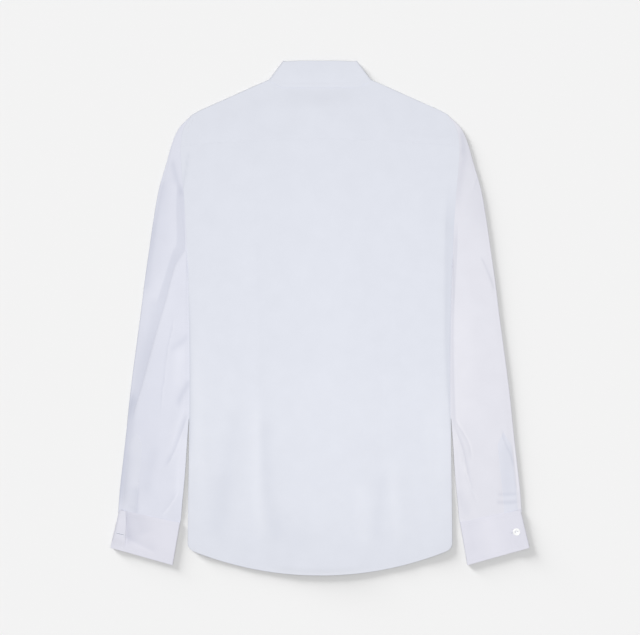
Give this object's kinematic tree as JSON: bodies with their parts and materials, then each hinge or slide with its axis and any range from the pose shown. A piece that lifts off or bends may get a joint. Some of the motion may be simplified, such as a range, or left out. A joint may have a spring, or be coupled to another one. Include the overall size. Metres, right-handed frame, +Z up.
{
  "type": "long sleeve dress shirt",
  "caption": "Man's long sleeve dress shirt laid flat on its front, back up: yoke, turned-down collar, buttoned front, set-in sleeves and barrel cuffs.",
  "frame": {"origin": "centre of the footprint, on the surface that the shirt lies on", "axes": "+Y towards the collar, +X towards the wearer's right sleeve, +Z up through the back"},
  "size_m": [0.6284, 0.771, 0.0099],
  "materials": {
    "poplin": "cool white cotton poplin, matt with a faint sheen",
    "stiffened_poplin": "the same poplin in two plies with an interlining",
    "pearl": "polished pearly polyester resin"
  },
  "bodies": {
    "root": {"back": "poplin", "yoke": "poplin", "front_left": "poplin", "front_right": "poplin", "front_placket": "stiffened_poplin", "sleeve_left": "poplin", "sleeve_right": "poplin", "sleeve_placket_left": "poplin", "sleeve_placket_right": "poplin", "cuff_left": "stiffened_poplin", "cuff_right": "stiffened_poplin", "collar_stand": "stiffened_poplin", "collar_leaf": "stiffened_poplin", "cuff_button_left": "pearl", "cuff_button_right": "pearl", "button_1": "pearl", "button_2": "pearl", "button_3": "pearl", "button_4": "pearl", "button_5": "pearl", "button_6": "pearl", "button_7": "pearl"}
  },
  "joints": []
}
